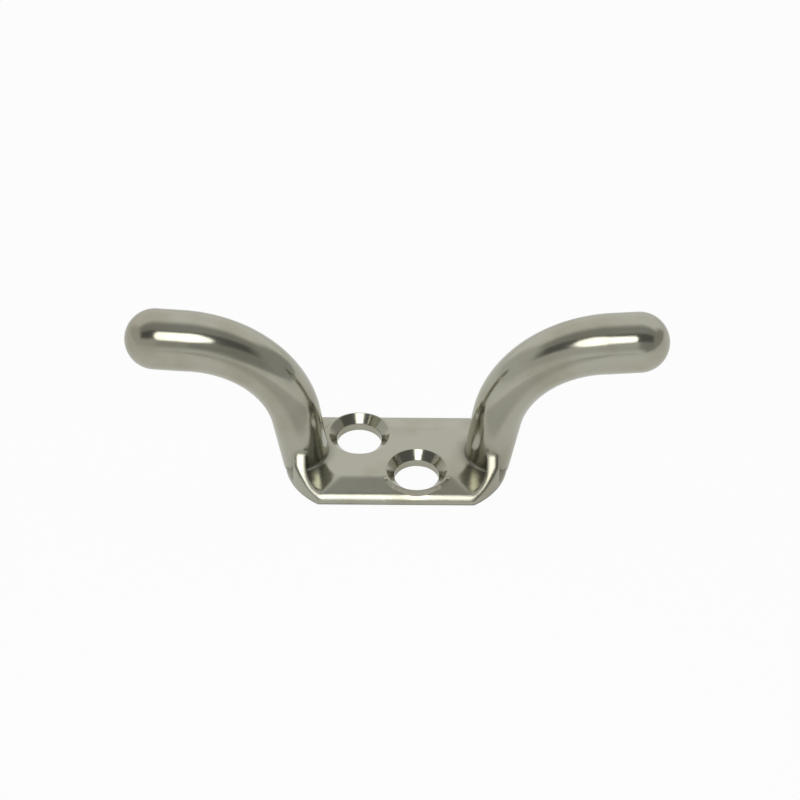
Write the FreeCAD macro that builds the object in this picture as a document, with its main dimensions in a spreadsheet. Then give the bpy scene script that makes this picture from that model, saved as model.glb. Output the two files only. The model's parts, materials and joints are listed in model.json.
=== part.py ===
import FreeCAD, Part
import math
import os

import Sketcher

# Horn cleat for light cord: a thin screw-down plate with a horn rising from each end,
# cast as one piece of nickel-coloured metal and polished all over.
# Millimetres. X runs along the horns, Y across the plate, Z up from the mounting face.
# The origin is the middle of the mounting face.

V = FreeCAD.Vector
UP = V(0, 0, 1)
ORIGIN_POINT = (-1, 1)
H_AXIS, V_AXIS, PATH_LINE = -1, -2, -3

os.makedirs("parts", exist_ok=True)
doc = FreeCAD.newDocument("horn_cleat")
sheet = doc.addObject("Spreadsheet::Sheet", "Sizes")

# Each size on its own line: alias, value, what it measures.
SIZES = [
    ("overall_length", 64.0, "tip to tip over both horns"),
    ("tip_height", 19.4, "centre of the domed end above the mounting face"),
    ("root_spacing", 21.0, "between the two horns' axes at the mounting face"),
    ("horn_lean", 10.0, "degrees the straight root leans outwards"),
    ("tip_rise", 4.5, "degrees the last stretch climbs towards the tip"),
    ("tip_straight", 3.7, "length of the last straight stretch"),
    ("root_thickness", 5.5, "diameter at the mounting face"),
    ("waist_thickness", 5.9, "diameter where the bend starts"),
    ("tip_thickness", 7.2, "diameter at the domed end"),
    ("rib_setback", 0.95, "outer side of the ribs inside the plate's rounded end"),
    ("rib_width", 1.5, "ribs in front of and behind each horn, along X"),
    ("rib_sweep", 3.2, "bend that leads a rib's inner side into the plate's bevel"),
    ("rib_slope", 38.0, "degrees the bevel and the ribs climb"),
    ("rib_round", 0.3, "along the outer edge of each rib"),
    ("plate_depth", 14.7, "across the plate"),
    ("plate_straight", 18.4, "straight front and back edge between the corners"),
    ("end_bulge", 3.9, "how far each rounded end stands past the corners"),
    ("side_height", 0.6, "upright side of the plate, under its bevel"),
    ("crown_height", 1.25, "flat top above the upright side"),
    ("bevel_width", 0.6, "bevel between the upright side and the slopes"),
    ("slope_width", 2.5, "front and back slope between the bevel and the flat top"),
    ("end_slope_width", 3.5, "end slopes between the bevel and the flat top"),
    ("end_overlap", 20.0, "degrees an end slope sweeps past the plate's corners"),
    ("screw_hole", 5.3, "through hole"),
    ("countersink", 7.2, "mouth of the countersink"),
    ("countersink_angle", 90.0, "degrees, included"),
    ("hole_spacing_x", 6.8, "between the two screw holes along X"),
    ("hole_spacing_y", 6.3, "between the two screw holes along Y"),
    ("hole_shift_x", -1.0, "middle of the two holes off the plate's middle along X"),
]
for row, (alias, value, note) in enumerate(SIZES, start=1):
    sheet.set(f"A{row}", alias)
    sheet.set(f"B{row}", str(value))
    sheet.set(f"C{row}", note)
    sheet.setAlias(f"B{row}", alias)
doc.recompute()
size = {alias: sheet.get(alias) for alias, _, _ in SIZES}

body = doc.addObject("PartDesign::Body", "Cleat")
body.Label = "cleat"


def origin_plane(role):
    return next(f for f in body.Origin.OriginFeatures if f.Role == role)


def sketch_on(name, support, mode="FlatFace"):
    sketch = body.newObject("Sketcher::SketchObject", name)
    sketch.AttachmentSupport = [support]
    sketch.MapMode = mode
    return sketch


def fix(sketch, *constraint):
    return sketch.addConstraint(Sketcher.Constraint(*constraint))


# A dimension tied to the sheet.
def drive(sketch, name, formula, *constraint):
    sketch.renameConstraint(fix(sketch, *constraint), name)
    sketch.setExpression(f"Constraints.{name}", formula)


# Joins curve ends: (curve, its end, next curve, its end).
def tie(sketch, *joints):
    for joint in joints:
        fix(sketch, "Coincident", *joint)


def line(x0, y0, x1, y1):
    return Part.LineSegment(V(x0, y0, 0), V(x1, y1, 0))


# Repeats features on the other side of one of the origin planes.
def mirrored(name, features, role):
    mirror = body.newObject("PartDesign::Mirrored", name)
    mirror.Originals = features
    mirror.MirrorPlane = (origin_plane(role), [""])
    body.Tip = mirror
    doc.recompute()
    return mirror


# Fillet on every edge that the test picks by the edge and the two faces beside it.
def rounded(name, feature, radius, wanted):
    shape = feature.Shape
    picked = []
    for number, edge in enumerate(shape.Edges, start=1):
        faces = [] if edge.Degenerated else shape.ancestorsOfType(edge, Part.Face)
        if len(faces) == 2 and wanted(edge, *faces):
            picked.append(f"Edge{number}")
    fillet = body.newObject("PartDesign::Fillet", name)
    fillet.Base = (feature, picked)
    fillet.setExpression("Radius", f"Sizes.{radius}")
    doc.recompute()
    return fillet


half_straight = size["plate_straight"] / 2
half_depth = size["plate_depth"] / 2
bulge = size["end_bulge"]
end_radius = (half_depth ** 2 + bulge ** 2) / (2 * bulge)
end_centre = half_straight + bulge - end_radius
end_angle = math.asin(half_depth / end_radius)
BOW = "(Sizes.plate_depth ^ 2 / 4 + Sizes.end_bulge ^ 2) / (2 * Sizes.end_bulge)"


# Plan of the plate: straight front and back edges, ends bowed out as arcs.
def plan_outline(name):
    sketch = sketch_on(name, (origin_plane("XY_Plane"), ""))
    right = Part.Circle(V(end_centre, 0, 0), UP, end_radius)
    left = Part.Circle(V(-end_centre, 0, 0), UP, end_radius)
    sketch.addGeometry(line(-half_straight, -half_depth, half_straight, -half_depth))
    sketch.addGeometry(Part.ArcOfCircle(right, -end_angle, end_angle))
    sketch.addGeometry(line(half_straight, half_depth, -half_straight, half_depth))
    sketch.addGeometry(Part.ArcOfCircle(left, math.pi - end_angle, math.pi + end_angle))
    tie(sketch, (0, 2, 1, 1), (1, 2, 2, 1), (2, 2, 3, 1), (3, 2, 0, 1))
    fix(sketch, "Symmetric", 0, 1, 0, 2, V_AXIS)
    fix(sketch, "Symmetric", 2, 1, 2, 2, V_AXIS)
    fix(sketch, "Equal", 0, 2)
    drive(sketch, "straight", "Sizes.plate_straight", "DistanceX", 0, 1, 0, 2, 2 * half_straight)
    drive(sketch, "front", "Sizes.plate_depth / 2", "DistanceY", 0, 2, *ORIGIN_POINT, half_depth)
    drive(sketch, "back", "Sizes.plate_depth / 2", "DistanceY", *ORIGIN_POINT, 2, 1, half_depth)
    drive(sketch, "right_bow", BOW, "Radius", 1, end_radius)
    drive(sketch, "left_bow", BOW, "Radius", 3, end_radius)
    return sketch


plate = body.newObject("PartDesign::Pad", "Plate")
plate.Profile = plan_outline("PlatePlan")
plate.setExpression("Length", "Sizes.side_height + Sizes.crown_height")
doc.recompute()


# Section of what is ground off the plate's edge: a slope from the flat top, then the bevel
# down to the upright side, which stands this reach away from the sketch's origin.
def border_profile(name, role, run, reach, reach_formula):
    sketch = sketch_on(name, (origin_plane(role), ""))
    top = size["side_height"] + size["crown_height"]
    low = size["side_height"]
    rise = size["bevel_width"] * math.tan(math.radians(size["rib_slope"]))
    shoulder = reach - size["bevel_width"]
    inner = shoulder - size[run]
    clear = 2.0
    sketch.addGeometry(line(inner, top, shoulder, low + rise))
    sketch.addGeometry(line(shoulder, low + rise, reach, low))
    sketch.addGeometry(line(reach, low, reach + clear, low))
    sketch.addGeometry(line(reach + clear, low, reach + clear, top + clear))
    sketch.addGeometry(line(reach + clear, top + clear, inner, top + clear))
    sketch.addGeometry(line(inner, top + clear, inner, top))
    tie(sketch, (0, 2, 1, 1), (1, 2, 2, 1), (2, 2, 3, 1), (3, 2, 4, 1), (4, 2, 5, 1), (5, 2, 0, 1))
    fix(sketch, "Horizontal", 2)
    fix(sketch, "Vertical", 3)
    fix(sketch, "Horizontal", 4)
    fix(sketch, "Vertical", 5)
    drive(sketch, "reach", reach_formula, "DistanceX", *ORIGIN_POINT, 2, 1, reach)
    drive(sketch, "side", "Sizes.side_height", "DistanceY", *ORIGIN_POINT, 2, 1, low)
    drive(sketch, "top", "Sizes.side_height + Sizes.crown_height", "DistanceY", *ORIGIN_POINT, 0, 1, top)
    drive(sketch, "run", f"Sizes.{run}", "DistanceX", 0, 1, 0, 2, size[run])
    drive(sketch, "bevel", "Sizes.bevel_width", "DistanceX", 1, 1, 1, 2, size["bevel_width"])
    drive(sketch, "rise", "Sizes.bevel_width * tan(Sizes.rib_slope * 1 deg)", "DistanceY", 1, 2, 1, 1, rise)
    fix(sketch, "DistanceX", 2, 1, 2, 2, clear)
    fix(sketch, "DistanceY", 0, 1, 4, 2, clear)
    return sketch


side_border = body.newObject("PartDesign::Pocket", "SideBorder")
side_border.Profile = border_profile("SideProfile", "YZ_Plane", "slope_width",
                                     half_depth, "Sizes.plate_depth / 2")
side_border.Type = "ThroughAll"
side_border.Midplane = True
doc.recompute()
mirrored("BothSides", [side_border], "XZ_Plane")

# The same border at the ends follows their arcs.
end_profile = border_profile("EndProfile", "XZ_Plane", "end_slope_width",
                             half_straight + bulge, "Sizes.plate_straight / 2 + Sizes.end_bulge")
axis = end_profile.addGeometry(line(end_centre, 0, end_centre, 1), True)
fix(end_profile, "Vertical", axis)
fix(end_profile, "PointOnObject", axis, 1, H_AXIS)
fix(end_profile, "DistanceY", axis, 1, axis, 2, 1.0)
drive(end_profile, "bow", BOW, "DistanceX", axis, 1, 2, 1, end_radius)
end_border = body.newObject("PartDesign::Groove", "EndBorder")
end_border.Profile = end_profile
end_border.ReferenceAxis = (end_profile, ["Axis0"])
end_border.Midplane = True
end_border.setExpression("Angle", f"2 * (asin(Sizes.plate_depth / 2 / ({BOW})) + Sizes.end_overlap * 1 deg)")
doc.recompute()
mirrored("BothEnds", [end_border], "YZ_Plane")

# Ribs in front of and behind the horn's root. A rib's top is the plate's bevel carried on up to
# the horn. In plan its inner side leaves the bevel in a bend, and its outer side the rounded end.
rib_roof = body.newObject("PartDesign::Plane", "RibRoof")
rib_roof.AttachmentSupport = [(origin_plane("XY_Plane"), "")]
rib_roof.MapMode = "FlatFace"
rib_roof.AttachmentOffset = FreeCAD.Placement(V(), FreeCAD.Rotation(V(1, 0, 0), size["rib_slope"]))
rib_roof.setExpression("AttachmentOffset.Base.y", "-Sizes.plate_depth / 2")
rib_roof.setExpression("AttachmentOffset.Base.z", "Sizes.side_height")
rib_roof.setExpression("AttachmentOffset.Rotation.Angle", "Sizes.rib_slope")
doc.recompute()

rib_out = half_straight + bulge - size["rib_setback"]
rib_in = rib_out - size["rib_width"]
rib_start = half_depth - size["bevel_width"] / 2
sweep = size["rib_sweep"]
sweep_circle = Part.Circle(V(rib_in - sweep, sweep - rib_start, 0), UP, sweep)
out_angle = math.acos((rib_out - end_centre) / end_radius)
out_y = -end_radius * math.sin(out_angle)
end_circle = Part.Circle(V(end_centre, 0, 0), UP, end_radius)
rib_plan = sketch_on("RibPlan", (origin_plane("XY_Plane"), ""))
rib_plan.addGeometry(line(rib_in - sweep, -half_depth, half_straight, -half_depth))
rib_plan.addGeometry(Part.ArcOfCircle(end_circle, -end_angle, -out_angle))
rib_plan.addGeometry(line(rib_out, out_y, rib_out, 0))
rib_plan.addGeometry(line(rib_out, 0, rib_in, 0))
rib_plan.addGeometry(line(rib_in, 0, rib_in, sweep - rib_start))
rib_plan.addGeometry(Part.ArcOfCircle(sweep_circle, -math.pi / 2, 0))
rib_plan.addGeometry(line(rib_in - sweep, -rib_start, rib_in - sweep, -half_depth))
tie(rib_plan, (0, 2, 1, 1), (1, 2, 2, 1), (2, 2, 3, 1), (3, 2, 4, 1), (5, 1, 6, 1), (6, 2, 0, 1))
fix(rib_plan, "Tangent", 4, 2, 5, 2)
fix(rib_plan, "Vertical", 5, 3, 5, 1)
fix(rib_plan, "Horizontal", 0)
fix(rib_plan, "Vertical", 2)
fix(rib_plan, "Vertical", 4)
fix(rib_plan, "Vertical", 6)
fix(rib_plan, "PointOnObject", 1, 3, H_AXIS)
fix(rib_plan, "PointOnObject", 2, 2, H_AXIS)
fix(rib_plan, "PointOnObject", 4, 1, H_AXIS)
drive(rib_plan, "corner", "Sizes.plate_straight / 2", "DistanceX", *ORIGIN_POINT, 0, 2, half_straight)
drive(rib_plan, "front", "Sizes.plate_depth / 2", "DistanceY", 0, 2, *ORIGIN_POINT, half_depth)
drive(rib_plan, "bow", BOW, "Radius", 1, end_radius)
drive(rib_plan, "sweep", "Sizes.rib_sweep", "Radius", 5, sweep)
drive(rib_plan, "start", "Sizes.bevel_width / 2", "DistanceY", 6, 2, 6, 1, half_depth - rib_start)
drive(rib_plan, "width", "Sizes.rib_width", "DistanceX", 4, 1, 2, 2, size["rib_width"])
drive(rib_plan, "outside", "Sizes.plate_straight / 2 + Sizes.end_bulge - Sizes.rib_setback",
      "DistanceX", *ORIGIN_POINT, 2, 2, rib_out)
rib = body.newObject("PartDesign::Pad", "Rib")
rib.Profile = rib_plan
rib.Type = "UpToFace"
rib.UpToFace = (rib_roof, [""])
doc.recompute()


# A rib's climbing outer edge, between its flat top and the upright flank.
def is_rib_edge(edge, *faces):
    middle = edge.valueAt((edge.FirstParameter + edge.LastParameter) / 2)
    normals = [face.normalAt(*face.Surface.parameter(middle)) for face in faces]
    tops = [n for n in normals if n.z > 0.4 and n.y < -0.4 and abs(n.x) < 0.01]
    flanks = [n for n in normals if abs(n.z) < 0.01 and abs(n.x) > 0.3]
    return len(tops) == 1 and len(flanks) == 1 and flanks[0].x > 0


rib_rounds = rounded("RibRounds", rib, "rib_round", is_rib_edge)
front_back = doc.addObject("PartDesign::Mirrored", "FrontBack")
front_back.MirrorPlane = (origin_plane("XZ_Plane"), [""])
left_right = doc.addObject("PartDesign::Mirrored", "LeftRight")
left_right.MirrorPlane = (origin_plane("YZ_Plane"), [""])
all_ribs = body.newObject("PartDesign::MultiTransform", "AllRibs")
all_ribs.Originals = [rib, rib_rounds]
all_ribs.Transformations = [front_back, left_right]
body.Tip = all_ribs
doc.recompute()

# The horn's centre line in the XZ plane: a leaning root, one bend, a short straight tip.
# The root's line and the tip's line cross at the corner that the bend rounds off.
lean = math.radians(size["horn_lean"])
rise = math.radians(size["tip_rise"])
tip_radius = size["tip_thickness"] / 2
tip_way = V(math.cos(rise), math.sin(rise), 0)
root_way = V(math.sin(lean), math.cos(lean), 0)
root = V(size["root_spacing"] / 2, 0, 0)
tip = V(size["overall_length"] / 2 - tip_radius, size["tip_height"], 0)
bend_end = tip - tip_way * size["tip_straight"]
turn = math.pi / 2 - lean - rise
to_corner = (bend_end - root).cross(tip_way).z / root_way.cross(tip_way).z
corner = root + root_way * to_corner
corner_run = (bend_end - corner).Length
bend_start = corner - root_way * corner_run
bend_radius = corner_run / math.tan(turn / 2)
bend_centre = bend_end + V(tip_way.y, -tip_way.x, 0) * bend_radius
bend_circle = Part.Circle(bend_centre, UP, bend_radius)
path = sketch_on("HornPath", (origin_plane("XZ_Plane"), ""))
path.addGeometry(Part.LineSegment(root, bend_start))
path.addGeometry(Part.ArcOfCircle(bend_circle, math.pi / 2 + rise, math.pi - lean))
path.addGeometry(Part.LineSegment(bend_end, tip))
fix(path, "PointOnObject", 0, 1, H_AXIS)
fix(path, "Tangent", 0, 2, 1, 2)
fix(path, "Tangent", 1, 1, 2, 1)
drive(path, "root_x", "Sizes.root_spacing / 2", "DistanceX", *ORIGIN_POINT, 0, 1, root.x)
drive(path, "root_angle", "90 - Sizes.horn_lean", "Angle", 0, math.pi / 2 - lean)
drive(path, "tip_angle", "Sizes.tip_rise", "Angle", 2, rise)
drive(path, "tip_length", "Sizes.tip_straight", "Distance", 2, size["tip_straight"])
drive(path, "tip_x", "Sizes.overall_length / 2 - Sizes.tip_thickness / 2",
      "DistanceX", *ORIGIN_POINT, 2, 2, tip.x)
drive(path, "tip_z", "Sizes.tip_height", "DistanceY", *ORIGIN_POINT, 2, 2, tip.y)
doc.recompute()


def turned(name, profile, edge):
    solid = body.newObject("PartDesign::Revolution", name)
    solid.Profile = profile
    solid.ReferenceAxis = (path, [edge])
    solid.Angle = 360
    doc.recompute()
    return solid


# The stem: a cone about the leaning root line. It reaches below the mounting face, where it is
# cut off level further on.
sunk = size["root_thickness"] / 5
waist = size["waist_thickness"] / 2
foot = size["root_thickness"] / 2
aside = V(root_way.y, -root_way.x, 0)
low = root - root_way * sunk
stem_points = [low, bend_start, bend_start + aside * waist, root + aside * foot, low + aside * foot]
stem_profile = sketch_on("StemProfile", (origin_plane("XZ_Plane"), ""))
stem_profile.addExternal("HornPath", "Edge1")
for here, there in zip(stem_points, stem_points[1:] + stem_points[:1]):
    stem_profile.addGeometry(Part.LineSegment(here, there))
tie(stem_profile, (0, 2, 1, 1), (1, 2, 2, 1), (2, 2, 3, 1), (3, 2, 4, 1), (4, 2, 0, 1))
fix(stem_profile, "Coincident", 0, 2, PATH_LINE, 2)
fix(stem_profile, "PointOnObject", 0, 1, PATH_LINE)
fix(stem_profile, "Perpendicular", 1, PATH_LINE)
fix(stem_profile, "Perpendicular", 4, PATH_LINE)
fix(stem_profile, "Parallel", 3, PATH_LINE)
drive(stem_profile, "waist", "Sizes.waist_thickness / 2", "Distance", 1, waist)
drive(stem_profile, "foot", "Sizes.root_thickness / 2", "Distance", 4, foot)
drive(stem_profile, "sunk", "Sizes.root_thickness / 5", "Distance", 3, sunk)
drive(stem_profile, "below", "Sizes.root_thickness / 5", "Distance", 0, 1, PATH_LINE, 1, sunk)
doc.recompute()
stem = turned("HornStem", stem_profile, "Edge1")


# The bend: a round bar that thickens along the arc.
def round_section(name, thickness, edge, share):
    sketch = sketch_on(name, (path, edge), "NormalToEdge")
    sketch.AttachmentOffset = FreeCAD.Placement(V(), FreeCAD.Rotation(UP, 270))
    sketch.MapPathParameter = share
    sketch.addGeometry(Part.Circle(V(), UP, tip_radius))
    fix(sketch, "Coincident", 0, 3, *ORIGIN_POINT)
    drive(sketch, "thickness", thickness, "Diameter", 0, 2 * tip_radius)
    return sketch


waist_section = round_section("WaistSection", "Sizes.waist_thickness", "Edge1", 1.0)
tip_section = round_section("TipSection", "Sizes.tip_thickness", "Edge3", 0.0)
doc.recompute()
bend = body.newObject("PartDesign::AdditivePipe", "HornBend")
bend.Profile = waist_section
bend.Spine = (path, ["Edge2"])
bend.Sections = [(tip_section, [""])]
bend.Transformation = "Multisection"
bend.Mode = "Frenet"
doc.recompute()

# The tip: a short cylinder with a domed end, turned about the last stretch of the centre line.
tip_aside = V(-tip_way.y, tip_way.x, 0) * tip_radius
tip_profile = sketch_on("TipProfile", (origin_plane("XZ_Plane"), ""))
tip_profile.addExternal("HornPath", "Edge3")
tip_profile.addGeometry(Part.LineSegment(bend_end, tip + tip_way * tip_radius))
tip_profile.addGeometry(Part.ArcOfCircle(Part.Circle(tip, UP, tip_radius), rise, rise + math.pi / 2))
tip_profile.addGeometry(Part.LineSegment(tip + tip_aside, bend_end + tip_aside))
tip_profile.addGeometry(Part.LineSegment(bend_end + tip_aside, bend_end))
tie(tip_profile, (0, 2, 1, 1), (2, 2, 3, 1), (3, 2, 0, 1))
fix(tip_profile, "Coincident", 0, 1, PATH_LINE, 1)
fix(tip_profile, "Coincident", 1, 3, PATH_LINE, 2)
fix(tip_profile, "PointOnObject", 0, 2, PATH_LINE)
fix(tip_profile, "Tangent", 1, 2, 2, 1)
fix(tip_profile, "Parallel", 2, PATH_LINE)
fix(tip_profile, "Perpendicular", 3, PATH_LINE)
drive(tip_profile, "radius", "Sizes.tip_thickness / 2", "Radius", 1, tip_radius)
doc.recompute()
tip_end = turned("HornTip", tip_profile, "Edge3")
both_horns = mirrored("BothHorns", [stem, bend, tip_end], "YZ_Plane")

# Level underside: nothing reaches below the mounting face.
stock = size["overall_length"]
under_plan = sketch_on("UnderPlan", (origin_plane("XY_Plane"), ""))
under_corners = [(-stock, -stock), (stock, -stock), (stock, stock), (-stock, stock)]
for here, there in zip(under_corners, under_corners[1:] + under_corners[:1]):
    fix(under_plan, "Block", under_plan.addGeometry(line(*here, *there)))
level = body.newObject("PartDesign::Pocket", "LevelUnderside")
level.Profile = under_plan
level.Type = "ThroughAll"
doc.recompute()

# Two countersunk screw holes on a diagonal, the mouths running out over the slopes.
hole_plan = sketch_on("HolePlan", (origin_plane("XY_Plane"), ""))
hole_plan.setExpression("AttachmentOffset.Base.z", "Sizes.side_height + Sizes.crown_height")
for side, name in ((-1, "back"), (1, "front")):
    x = size["hole_shift_x"] + side * size["hole_spacing_x"] / 2
    y = -side * size["hole_spacing_y"] / 2
    hole = hole_plan.addGeometry(Part.Circle(V(x, y, 0), UP, size["screw_hole"] / 2))
    drive(hole_plan, f"{name}_size", "Sizes.screw_hole", "Diameter", hole, size["screw_hole"])
    drive(hole_plan, f"{name}_x", f"Sizes.hole_shift_x + {side} * Sizes.hole_spacing_x / 2",
          "DistanceX", *ORIGIN_POINT, hole, 3, x)
    drive(hole_plan, f"{name}_y", f"{-side} * Sizes.hole_spacing_y / 2",
          "DistanceY", *ORIGIN_POINT, hole, 3, y)
doc.recompute()
holes = body.newObject("PartDesign::Hole", "ScrewHoles")
holes.Profile = hole_plan
doc.recompute()
holes.DepthType = "ThroughAll"
holes.HoleCutType = "Countersink"
holes.HoleCutCustomValues = True
holes.setExpression("Diameter", "Sizes.screw_hole")
holes.setExpression("HoleCutDiameter", "Sizes.countersink")
holes.setExpression("HoleCutCountersinkAngle", "Sizes.countersink_angle")
doc.recompute()

for item in doc.Objects:
    if "Invalid" in item.State or "Error" in item.State:
        raise RuntimeError(f"{item.Name} could not be built: {item.State}")
if body.Shape.isNull() or not body.Shape.isValid() or len(body.Shape.Solids) != 1:
    raise RuntimeError("the cleat is not one sound solid")
body.Shape.exportStep("parts/cleat.step")
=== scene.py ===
import json
import math

import bmesh
import bpy
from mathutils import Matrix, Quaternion, Vector

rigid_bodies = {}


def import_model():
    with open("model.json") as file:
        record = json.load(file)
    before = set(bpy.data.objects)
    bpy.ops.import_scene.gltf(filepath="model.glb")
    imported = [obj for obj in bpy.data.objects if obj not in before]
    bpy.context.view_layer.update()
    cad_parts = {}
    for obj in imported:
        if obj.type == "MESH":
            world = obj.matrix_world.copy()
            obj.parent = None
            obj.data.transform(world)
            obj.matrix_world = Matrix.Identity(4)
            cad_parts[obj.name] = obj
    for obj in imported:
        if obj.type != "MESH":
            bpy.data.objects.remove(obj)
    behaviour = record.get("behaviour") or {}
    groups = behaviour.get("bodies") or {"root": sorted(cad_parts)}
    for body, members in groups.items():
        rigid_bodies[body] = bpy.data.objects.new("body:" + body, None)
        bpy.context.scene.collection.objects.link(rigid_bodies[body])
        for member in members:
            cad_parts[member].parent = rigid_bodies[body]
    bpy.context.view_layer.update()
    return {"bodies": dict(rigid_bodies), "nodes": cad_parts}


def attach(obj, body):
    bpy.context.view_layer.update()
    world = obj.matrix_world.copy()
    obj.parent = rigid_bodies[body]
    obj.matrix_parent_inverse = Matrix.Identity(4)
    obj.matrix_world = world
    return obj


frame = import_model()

scene = bpy.context.scene
scene.view_settings.view_transform = "Standard"
mmPerMetre = 1000.0
screwHoles = {"back": (-4.4, 3.15), "front": (2.4, -3.15)}  # mm, their middles
print("frame loaded:", ", ".join(frame["nodes"]))


# sRGB hex to the linear colour that the shaders take
def hexColour(text):
    parts = [int(text[i:i + 2], 16) / 255 for i in (1, 3, 5)]
    linear = [p / 12.92 if p <= 0.04045 else ((p + 0.055) / 1.055) ** 2.4 for p in parts]
    return (*linear, 1.0)


# adds one node, sets its properties and sockets, and links what is given as another node's output
def addNode(tree, kind, links=None, sockets=None, **settings):
    node = tree.nodes.new(kind)
    for name, value in settings.items():
        setattr(node, name, value)
    for name, value in (sockets or {}).items():
        node.inputs[name].default_value = value
    for name, source in (links or {}).items():
        tree.links.new(source, node.inputs[name])
    return node


def newMaterial(name):
    material = bpy.data.materials.new(name)
    material.use_nodes = True
    material.node_tree.nodes.clear()
    return material, material.node_tree


# Cast metal, ground and buffed, then plated with bright nickel. The buffing leaves a faint
# orange-peel waviness that bends reflections, and hair scratches that only show near a lamp.
platingLook = {
    "colour": "#b6b5a6",          # warm grey of nickel plating
    "duller": "#aba897",          # where the plating is a little thin or hazed
    "hazeSize": 9.0,              # mm across one cloud of haze
    "hazeSpan": (0.42, 0.68),     # of the noise, over which the plating turns duller
    "roughSpan": (0.35, 0.75),    # of the noise, over which it turns rougher
    "roughness": (0.10, 0.19),    # clean plating, hazed plating
    "cornerPaintedShade": "#77756a",    # painted shade, in the corners where the horns and ribs stand on the plate
    "cornerReach": 2.2,           # mm out from such a corner
    "cornerSpan": (0.92, 0.45),   # share of open space, from buffed and unshaded to missed by the buffing and under full painted shade
    "cornerRoughness": 0.22,      # added there
    "edgeRound": 0.8,             # mm, what buffing has taken off every edge and left in every corner
    "rimRound": 0.12,             # mm, round the screw holes, which are drilled and countersunk last
    "rimZone": (3.7, 4.3),        # mm from a hole's middle to where the buffed surface is whole again
    "waveSize": 5.5,              # mm from ripple to ripple left by the buffing wheel
    "waveHeight": 0.010,          # mm
    "grainSize": 0.55,            # mm, casting grain showing through the plate, drawn coarse to show
    "grainHeight": 0.0012,        # mm
    "scratchSize": 0.22,          # mm between hair scratches, drawn coarse to show
    "scratchStretch": 0.04,       # of the noise along the horns
    "scratchSpan": (0.62, 0.75),  # of the noise, from whole plating to scratch
    "scratchHeight": 0.0006,      # mm
    "scratchRoughness": 0.05,     # added there
    "samples": 8,                 # of edges and corners, for each ray
}


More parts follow.
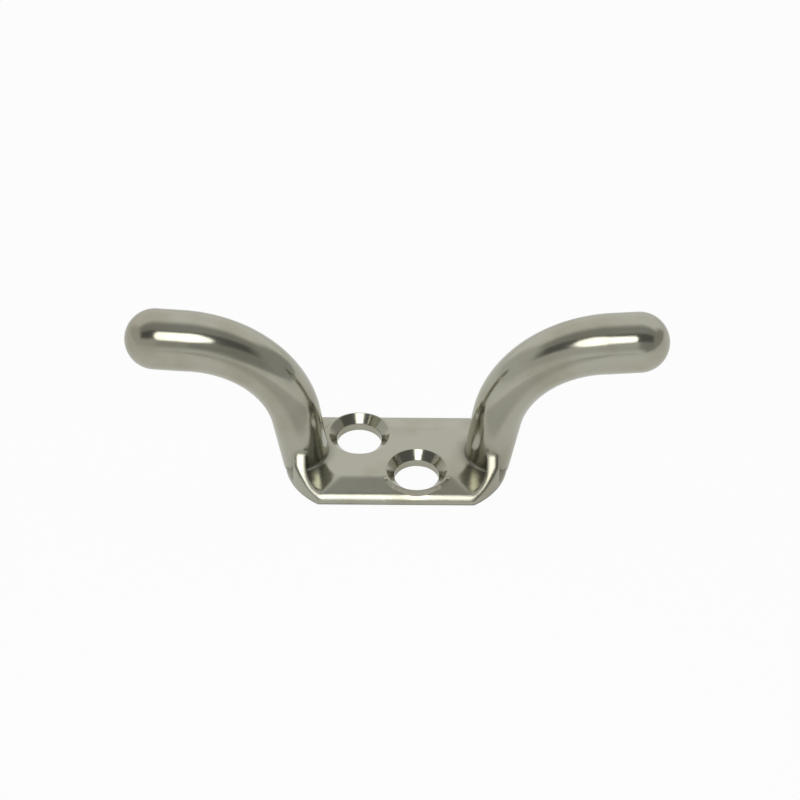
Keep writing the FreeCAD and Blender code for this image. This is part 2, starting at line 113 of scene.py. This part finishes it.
def platedMetal(name, look):
    material, tree = newMaterial(name)
    place = addNode(tree, "ShaderNodeTexCoord").outputs["Object"]
    haze, wave, grain = [
        addNode(tree, "ShaderNodeTexNoise", {"Vector": place},
                {"Scale": mmPerMetre / size, "Detail": detail, "Roughness": crispness}).outputs["Fac"]
        for size, detail, crispness in ((look["hazeSize"], 4.0, 0.55),
                                        (look["waveSize"], 1.0, 0.40),
                                        (look["grainSize"], 3.0, 0.60))]
    hazeMask = addNode(tree, "ShaderNodeMapRange", {"Value": haze},
                       {"From Min": look["hazeSpan"][0], "From Max": look["hazeSpan"][1]},
                       interpolation_type="SMOOTHSTEP")
    hazed = addNode(tree, "ShaderNodeMix", {"Factor": hazeMask.outputs["Result"]}, data_type="RGBA")
    hazed.inputs["A"].default_value = hexColour(look["colour"])
    hazed.inputs["B"].default_value = hexColour(look["duller"])

    # painted shade: the colour darkened, and the plating made rougher, where the horns and ribs stand on
    # the plate
    nearness = addNode(tree, "ShaderNodeAmbientOcclusion",
                       sockets={"Distance": look["cornerReach"] / mmPerMetre},
                       samples=look["samples"], only_local=True)
    corner = addNode(tree, "ShaderNodeMapRange", {"Value": nearness.outputs["AO"]},
                     {"From Min": look["cornerSpan"][0], "From Max": look["cornerSpan"][1]},
                     interpolation_type="SMOOTHSTEP").outputs["Result"]
    colour = addNode(tree, "ShaderNodeMix", {"Factor": corner, "A": hazed.outputs["Result"]},
                     data_type="RGBA")
    colour.inputs["B"].default_value = hexColour(look["cornerPaintedShade"])

    # long thin scratches: noise drawn out along the horns
    along = addNode(tree, "ShaderNodeMapping", {"Vector": place},
                    {"Scale": (look["scratchStretch"], 1.0, 1.0)})
    lines = addNode(tree, "ShaderNodeTexNoise", {"Vector": along.outputs["Vector"]},
                    {"Scale": mmPerMetre / look["scratchSize"], "Detail": 2.0, "Roughness": 0.6})
    scratch = addNode(tree, "ShaderNodeMapRange", {"Value": lines.outputs["Fac"]},
                      {"From Min": look["scratchSpan"][0],
                       "From Max": look["scratchSpan"][1]}).outputs["Result"]
    rough = addNode(tree, "ShaderNodeMapRange", {"Value": haze},
                    {"From Min": look["roughSpan"][0], "From Max": look["roughSpan"][1],
                     "To Min": look["roughness"][0], "To Max": look["roughness"][1]}).outputs["Result"]
    for mask, added in ((corner, look["cornerRoughness"]), (scratch, look["scratchRoughness"])):
        rough = addNode(tree, "ShaderNodeMath", {0: mask, 2: rough}, {1: added},
                        operation="MULTIPLY_ADD").outputs["Value"]

    # edges rounded by the buffing, less so near the screw holes
    level = addNode(tree, "ShaderNodeVectorMath", {0: place}, {1: (mmPerMetre, mmPerMetre, 0.0)},
                    operation="MULTIPLY")
    toBack, toFront = [
        addNode(tree, "ShaderNodeVectorMath", {0: level.outputs["Vector"]}, {1: (x, y, 0.0)},
                operation="DISTANCE").outputs["Value"]
        for x, y in (screwHoles["back"], screwHoles["front"])]
    toHole = addNode(tree, "ShaderNodeMath", {0: toBack, 1: toFront}, operation="MINIMUM")
    radius = addNode(tree, "ShaderNodeMapRange", {"Value": toHole.outputs["Value"]},
                     {"From Min": look["rimZone"][0], "From Max": look["rimZone"][1],
                      "To Min": look["rimRound"] / mmPerMetre, "To Max": look["edgeRound"] / mmPerMetre})
    buffed = addNode(tree, "ShaderNodeBevel", {"Radius": radius.outputs["Result"]},
                     samples=look["samples"])

    # waves, casting grain and scratches on top of that
    normal = buffed.outputs["Normal"]
    for relief, height, sunk in ((wave, look["waveHeight"], False),
                                 (grain, look["grainHeight"], False),
                                 (scratch, look["scratchHeight"], True)):
        bump = addNode(tree, "ShaderNodeBump", {"Height": relief, "Normal": normal},
                       {"Strength": 1.0, "Distance": height / mmPerMetre}, invert=sunk)
        normal = bump.outputs["Normal"]
    metal = addNode(tree, "ShaderNodeBsdfPrincipled",
                    {"Base Color": colour.outputs["Result"], "Roughness": rough, "Normal": normal},
                    {"Metallic": 1.0})
    addNode(tree, "ShaderNodeOutputMaterial", {"Surface": metal.outputs["BSDF"]})
    return material


cleat = frame["nodes"]["cleat"]
plating = platedMetal("buffedNickelPlate", platingLook)
rimPlating = platedMetal("drilledNickelPlate", {**platingLook, "edgeRound": platingLook["rimRound"]})
cleat.data.materials.clear()
cleat.data.materials.append(plating)
print("plating on the cleat")


# The plate under the pads, as the part has it. Sizes in mm.
plateForm = {
    "depth": 14.7,
    "straight": 18.4,      # length of the front and back sides
    "endBulge": 3.9,       # of an end's arc, beyond those
    "sideHeight": 0.6,     # of the upright side
    "crownHeight": 1.25,   # of the flat top over that side
    "bevelWidth": 0.6,
    "bevelSlope": 38.0,    # degrees
    "slopeWidth": 2.5,     # from bevel to flat top, along the front and back
    "endSlopeWidth": 3.5,  # the same at the ends
}


# height of the plate's top at a place, from its distance to the front or back side and the end
def plateHeight(form, x, y):
    halfDepth = form["depth"] / 2
    endRadius = (halfDepth ** 2 + form["endBulge"] ** 2) / (2 * form["endBulge"])
    endMiddle = form["straight"] / 2 + form["endBulge"] - endRadius
    bevelRise = form["bevelWidth"] * math.tan(math.radians(form["bevelSlope"]))
    slopeRise = form["crownHeight"] - bevelRise
    sideInset = halfDepth - abs(y)
    endInset = endRadius - math.hypot(max(abs(x) - endMiddle, 0.0), y)
    heights = []
    for inset, width in ((sideInset, form["slopeWidth"]), (endInset, form["endSlopeWidth"])):
        onBevel = min(max(inset / form["bevelWidth"], 0.0), 1.0)
        onSlope = min(max((inset - form["bevelWidth"]) / width, 0.0), 1.0)
        heights.append(form["sideHeight"] + onBevel * bevelRise + onSlope * slopeRise)
    return min(heights)


# Crescent pads that carry the countersinks' rims out over the plate's slopes, level with the
# flat top. Sizes in mm.
padLook = {
    "bore": 2.65,          # radius
    "mouth": 3.6,          # radius of the countersink at the top, whose sides stand at 45 degrees
    "rim": (3.85, 3.64),   # half axes where the pad's outside starts to fall, along and across
    "foot": (4.25, 3.72),  # half axes where it meets the plate
    "deeper": 1.25,        # of the outside's fall, so that the foot's edge lies in the plate
    "proud": 0.008,        # of the plate's own countersink
    "under": 0.05,         # the plate's own surfaces, towards the crescent's points
    "blend": 0.12,         # fall of the plate over which the pad comes up
    "least": 0.001,        # height that is worth making
    "steps": 240,          # round the whole hole
    "sharpEdge": 25.0,     # degrees, the least that shows as an edge
}


# the pad's outline in one upright plane through the hole's middle: cone, rim and outside
def padOutline(look, middle, turn):
    along, across = math.cos(turn), math.sin(turn)

    def ground(radius):
        return plateHeight(plateForm, middle[0] + radius * along, middle[1] + radius * across)

    flatTop = plateForm["sideHeight"] + plateForm["crownHeight"]
    rim, foot = [1 / math.hypot(along / halfAlong, across / halfAcross)
                 for halfAlong, halfAcross in (look["rim"], look["foot"])]
    if ground(rim) > flatTop - look["least"]:
        return None
    shown = min((flatTop - ground(look["mouth"])) / look["blend"], 1.0)
    top = flatTop - look["under"] * (1 - shown)
    inwards = look["proud"] * shown - look["under"] * (1 - shown)
    cone = look["mouth"] - flatTop - inwards  # radius of the pad's cone less its height
    footHeight = top + look["deeper"] * (ground(foot) - top)
    outline = [(look["bore"], look["bore"] - cone), (top + cone, top), (rim, top),
               (rim + look["deeper"] * (foot - rim), footHeight)]
    return [(middle[0] + radius * along, middle[1] + radius * across, height)
            for radius, height in outline]


def addScrewPad(name, look, middle):
    # the turn starts towards the plate's long middle line, where there is no pad
    inward = math.atan2(-middle[1], 0.0)
    turns = [inward + 2 * math.pi * step / look["steps"] for step in range(look["steps"])]
    rings = [ring for ring in (padOutline(look, middle, turn) for turn in turns) if ring]
    points = [tuple(value / mmPerMetre for value in point) for ring in rings for point in ring]
    corners = len(rings[0])
    last = len(points) - corners
    faces = [tuple(range(corners)), tuple(range(len(points) - 1, last - 1, -1))]
    for here in range(0, last, corners):
        for corner in range(corners):
            after = (corner + 1) % corners
            faces.append((here + corner, here + corners + corner, here + corners + after, here + after))
    mesh = bpy.data.meshes.new(name)
    mesh.from_pydata(points, [], faces)
    solid = bmesh.new()
    solid.from_mesh(mesh)
    bmesh.ops.recalc_face_normals(solid, faces=solid.faces)
    solid.to_mesh(mesh)
    solid.free()
    mesh.shade_smooth()
    mesh.set_sharp_from_angle(angle=math.radians(look["sharpEdge"]))
    mesh.materials.append(rimPlating)
    pad = bpy.data.objects.new(name, mesh)
    scene.collection.objects.link(pad)
    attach(pad, next(iter(frame["bodies"])))


for side, middle in screwHoles.items():
    addScrewPad(side + "ScrewPad", padLook, middle)
print("screw pads on the plate")


# Matt white paper sweep under the cleat. What the camera and the metal see of it is paper white
# with the soft shadow left in, and the metal also sees a painted shadow on it in front.
floorLook = {
    "paper": "#f2f2f0",
    "halfSize": 3.0,       # m
    "seenWhite": 0.95,     # how far the paper is lifted to white for the eye
    "shownWhite": 0.50,    # and for what the metal shows of it
    "shadedWhite": 0.04,   # the same in front, a painted shadow as if the camera and its stand shaded the paper
    "shadedMiddle": 0.0010,             # m along X
    "shadedAside": (0.0190, 0.0100),    # m from that middle, from lit to shaded
    "shadedFront": (-0.0085, -0.0120),  # m along Y, from lit to shaded
}


def paperFloor(look):
    half = look["halfSize"]
    mesh = bpy.data.meshes.new("paperSweep")
    points = [(-half, -half, 0), (half, -half, 0), (half, half, 0), (-half, half, 0)]
    mesh.from_pydata(points, [], [(0, 1, 2, 3)])
    floor = bpy.data.objects.new("paperSweep", mesh)
    scene.collection.objects.link(floor)
    material, tree = newMaterial("mattWhitePaper")
    light = addNode(tree, "ShaderNodeLightPath").outputs
    place = addNode(tree, "ShaderNodeTexCoord").outputs["Object"]
    split = addNode(tree, "ShaderNodeSeparateXYZ", {"Vector": place}).outputs
    # painted shadow in front of the cleat, only in what the metal shows of the paper
    fromMiddle = addNode(tree, "ShaderNodeMath", {0: split["X"]}, {1: look["shadedMiddle"]},
                         operation="SUBTRACT")
    aside = addNode(tree, "ShaderNodeMath", {0: fromMiddle.outputs["Value"]}, operation="ABSOLUTE")
    shadedAside, shadedFront = [
        addNode(tree, "ShaderNodeMapRange", {"Value": value},
                {"From Min": span[0], "From Max": span[1]}, interpolation_type="SMOOTHSTEP")
        for value, span in ((aside.outputs["Value"], look["shadedAside"]),
                            (split["Y"], look["shadedFront"]))]
    shaded = addNode(tree, "ShaderNodeMath",
                     {0: shadedAside.outputs["Result"], 1: shadedFront.outputs["Result"]},
                     operation="MULTIPLY")
    lift = addNode(tree, "ShaderNodeMapRange", {"Value": shaded.outputs["Value"]},
                   {"To Min": look["shownWhite"], "To Max": look["shadedWhite"]})
    mirrored = addNode(tree, "ShaderNodeMath",
                       {0: light["Is Glossy Ray"], 1: light["Is Transmission Ray"]}, operation="MAXIMUM")
    shown = addNode(tree, "ShaderNodeMath", {0: mirrored.outputs["Value"], 1: lift.outputs["Result"]},
                    operation="MULTIPLY")
    share = addNode(tree, "ShaderNodeMath", {0: light["Is Camera Ray"], 2: shown.outputs["Value"]},
                    {1: look["seenWhite"]}, operation="MULTIPLY_ADD")
    paper = addNode(tree, "ShaderNodeBsdfDiffuse", sockets={"Color": hexColour(look["paper"])})
    white = addNode(tree, "ShaderNodeEmission", sockets={"Color": hexColour("#ffffff"), "Strength": 1.0})
    both = addNode(tree, "ShaderNodeMixShader",
                   {0: share.outputs["Value"], 1: paper.outputs["BSDF"], 2: white.outputs["Emission"]})
    addNode(tree, "ShaderNodeOutputMaterial", {"Surface": both.outputs["Shader"]})
    mesh.materials.append(material)


paperFloor(floorLook)
print("floor laid")


# The room as the metal sees it, in bands from low in front, up over the cleat and down behind it.
# White walls low down and behind, a dim ceiling, and black cloth round the softbox.
roomLook = {
    "lowLeft": 0.74,
    "lowRight": 0.38,
    "midLeft": 0.60,
    "midRight": 0.34,
    "cloth": 0.14,
    "ceiling": 0.37,
    "back": 0.86,
    "leftWall": 0.62,
    "rightWall": 0.40,
    "toMid": (4.0, 18.0),        # degrees from the front horizon, up and over, where bands meet
    "toCloth": (38.0, 46.0),
    "toCeiling": (71.0, 79.0),
    "toBack": (97.0, 121.0),
    "lowTurn": (0.14, 0.46),     # share of the direction that points right, where left meets right
    "midTurn": (-0.10, 0.20),
    "wallTurn": (0.74, 0.88),
}


def studioRoom(look):
    world = bpy.data.worlds.new("studioRoom")
    world.use_nodes = True
    scene.world = world
    tree = world.node_tree
    tree.nodes.clear()
    direction = addNode(tree, "ShaderNodeTexCoord").outputs["Generated"]
    split = addNode(tree, "ShaderNodeSeparateXYZ", {"Vector": direction}).outputs
    rightward = split["X"]
    leftward, forward = [
        addNode(tree, "ShaderNodeMath", {0: split[axis]}, {1: -1.0},
                operation="MULTIPLY").outputs["Value"]
        for axis in ("X", "Y")]
    angle = addNode(tree, "ShaderNodeMath", {0: split["Z"], 1: forward}, operation="ARCTAN2")
    over = addNode(tree, "ShaderNodeMath", {0: angle.outputs["Value"]},
                   operation="DEGREES").outputs["Value"]

    # moves from the first level to the second while the value crosses the span
    def blend(value, span, first, second):
        step = addNode(tree, "ShaderNodeMapRange", {"Value": value},
                       {"From Min": span[0], "From Max": span[1]}, interpolation_type="SMOOTHSTEP")
        node = addNode(tree, "ShaderNodeMix", {"Factor": step.outputs["Result"]}, data_type="FLOAT")
        for name, level in (("A", first), ("B", second)):
            if isinstance(level, float):
                node.inputs[name].default_value = level
            else:
                tree.links.new(level, node.inputs[name])
        return node.outputs["Result"]

    low = blend(rightward, look["lowTurn"], look["lowLeft"], look["lowRight"])
    mid = blend(rightward, look["midTurn"], look["midLeft"], look["midRight"])
    level = blend(over, look["toMid"], low, mid)
    level = blend(over, look["toCloth"], level, look["cloth"])
    level = blend(over, look["toCeiling"], level, look["ceiling"])
    level = blend(over, look["toBack"], level, look["back"])
    level = blend(rightward, look["wallTurn"], level, look["rightWall"])
    level = blend(leftward, look["wallTurn"], level, look["leftWall"])
    glow = addNode(tree, "ShaderNodeBackground", {"Strength": level}, {"Color": hexColour("#ffffff")})
    addNode(tree, "ShaderNodeOutputWorld", {"Surface": glow.outputs["Background"]})


studioRoom(roomLook)
print("room round it")


# One softbox in front of and above the cleat gives the long highlights on the horns and ribs.
softbox = {
    "elevation": 58.0,   # degrees
    "azimuth": -5.0,     # degrees, counted towards the right of the picture
    "distance": 0.125,   # m
    "width": 0.062,      # m
    "height": 0.060,     # m
    "watts": 0.026,
}


def addLamp(name, look):
    data = bpy.data.lights.new(name, "AREA")
    data.shape = "ELLIPSE"
    data.size, data.size_y = look["width"], look["height"]
    data.energy = look["watts"]
    lamp = bpy.data.objects.new(name, data)
    turn, rise = math.radians(look["azimuth"]), math.radians(look["elevation"])
    out = Vector((math.sin(turn) * math.cos(rise), -math.cos(turn) * math.cos(rise), math.sin(rise)))
    lamp.location = out * look["distance"]
    lamp.rotation_mode = "QUATERNION"
    lamp.rotation_quaternion = out.to_track_quat("Z", "Y")
    lamp.visible_camera = False
    scene.collection.objects.link(lamp)


addLamp("softbox", softbox)
print("lights set")


# The photograph's view: a long lens from the front, well above the cleat, hardly tilted.
cameraLook = {
    "elevation": 42.0,         # degrees
    "distance": 1.5,           # m
    "scale": 8.46,             # picture points per mm at the cleat
    "origin": (396.8, 463.0),  # picture points, where the middle of the mounting face lands
    "pictureSize": 800,        # picture points, wide and high
    "roll": 0.4,               # degrees
    "sensorWidth": 36.0,       # mm
}


def addCamera(look):
    data = bpy.data.cameras.new("photoView")
    data.sensor_width = look["sensorWidth"]
    data.lens = look["scale"] * look["distance"] * mmPerMetre * look["sensorWidth"] / look["pictureSize"]
    camera = bpy.data.objects.new("photoView", data)
    rise = math.radians(look["elevation"])
    back = Vector((0, -math.cos(rise), math.sin(rise)))
    up = Vector((0, math.sin(rise), math.cos(rise)))
    right = Vector((1, 0, 0))
    middle = look["pictureSize"] / 2
    acrossMm = (middle - look["origin"][0]) / look["scale"]
    upMm = (look["origin"][1] - middle) / look["scale"]
    target = (right * acrossMm + up * upMm) / mmPerMetre
    camera.location = target + back * look["distance"]
    camera.rotation_mode = "QUATERNION"
    tilt = Quaternion(back, math.radians(look["roll"]))
    camera.rotation_quaternion = tilt @ back.to_track_quat("Z", "Y")
    scene.collection.objects.link(camera)
    scene.camera = camera


addCamera(cameraLook)
print("camera set")
